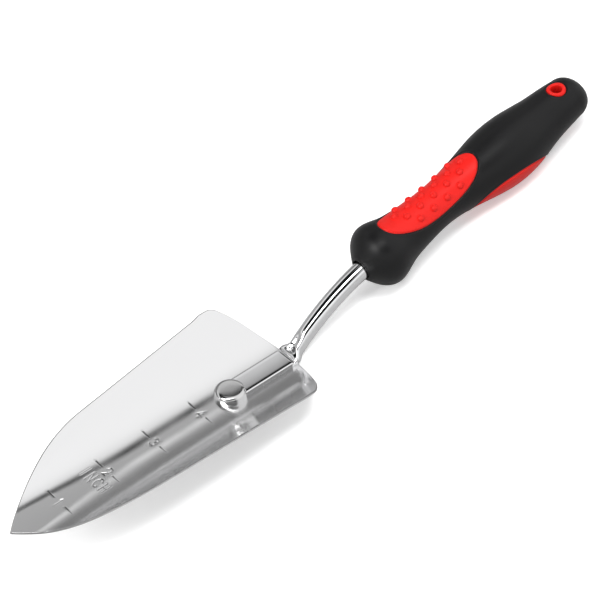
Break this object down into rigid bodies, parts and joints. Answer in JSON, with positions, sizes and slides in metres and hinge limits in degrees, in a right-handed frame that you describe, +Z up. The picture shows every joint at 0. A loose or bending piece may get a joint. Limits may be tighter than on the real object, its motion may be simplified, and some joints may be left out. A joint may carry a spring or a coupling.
{
  "type": "hand trowel",
  "caption": "Garden hand trowel: pointed dished steel blade with inch depth marks, riveted cranked tang and a moulded soft-grip handle with a hang hole.",
  "frame": {"origin": "middle of the footprint on the table, with the trowel lying scoop up on its heel and palm swell", "axes": "+X along the trowel from the blade's tip towards the handle's end, +Z up out of the scoop, +Y across the blade"},
  "size_m": [0.3366, 0.0688, 0.036],
  "materials": {
    "blade_steel": "bright rolled stainless sheet, polished, with a fine grain",
    "tang_steel": "bright chrome plate on a steel rod",
    "rivet_steel": "bright steel, flat on top and rounded at the side",
    "core_plastic": "plain moulded polypropylene, hidden",
    "grip_black": "satin black soft-touch overmould",
    "grip_red": "satin red soft-touch overmould"
  },
  "bodies": {
    "root": {"blade": "blade_steel", "tang": "tang_steel", "rivet": "rivet_steel", "handle_core": "core_plastic", "grip_sleeve": "grip_black", "thumb_pad": "grip_red", "finger_pad": "grip_red", "hang_ring": "grip_red"}
  },
  "joints": []
}
